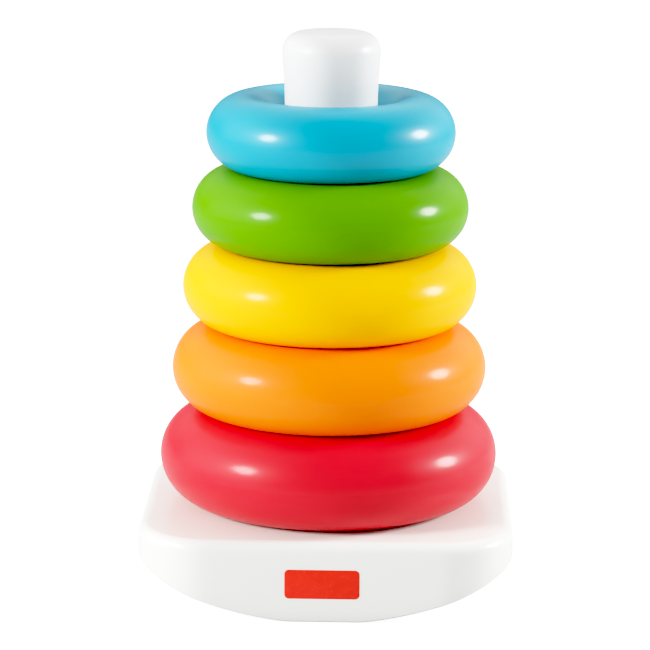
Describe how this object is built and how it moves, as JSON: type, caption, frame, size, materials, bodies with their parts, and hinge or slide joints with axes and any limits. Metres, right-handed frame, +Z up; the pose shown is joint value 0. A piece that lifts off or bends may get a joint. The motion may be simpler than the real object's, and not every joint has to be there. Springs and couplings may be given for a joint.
{
  "type": "stacking ring toy",
  "caption": "Baby's ring stacker: hollow rings of falling size lift off a tapered post that stands on a hollow base with a rocker underside.",
  "frame": {"origin": "the middle of the flat strip that the base stands on, which is the middle of the bounding box's bottom", "axes": "+Z up along the post, -Y towards the base's labelled front, +X to the right of someone who faces that front"},
  "size_m": [0.133, 0.124, 0.1993],
  "materials": {
    "white_plastic": "smooth semi-gloss moulded white",
    "label_print": "satin printed red-orange, no lettering",
    "red_plastic": "satin blow-moulded red",
    "orange_plastic": "satin blow-moulded orange",
    "yellow_plastic": "satin blow-moulded yellow",
    "green_plastic": "satin blow-moulded green",
    "blue_plastic": "satin blow-moulded turquoise blue"
  },
  "bodies": {
    "base": {"base_shell": "white_plastic", "rocker_sole": "white_plastic", "post": "white_plastic", "front_label": "label_print"},
    "red": {"red_ring": "red_plastic"},
    "orange": {"orange_ring": "orange_plastic"},
    "yellow": {"yellow_ring": "yellow_plastic"},
    "green": {"green_ring": "green_plastic"},
    "blue": {"blue_ring": "blue_plastic"}
  },
  "joints": [
    {"name": "red_lift", "type": "slide", "parent": "base", "child": "red", "axis": [0, 0, 1], "range_m": [0, 0.18]},
    {"name": "orange_lift", "type": "slide", "parent": "red", "child": "orange", "axis": [0, 0, 1], "range_m": [0, 0.145]},
    {"name": "yellow_lift", "type": "slide", "parent": "orange", "child": "yellow", "axis": [0, 0, 1], "range_m": [0, 0.115]},
    {"name": "green_lift", "type": "slide", "parent": "yellow", "child": "green", "axis": [0, 0, 1], "range_m": [0, 0.085]},
    {"name": "blue_lift", "type": "slide", "parent": "green", "child": "blue", "axis": [0, 0, 1], "range_m": [0, 0.06]}
  ]
}
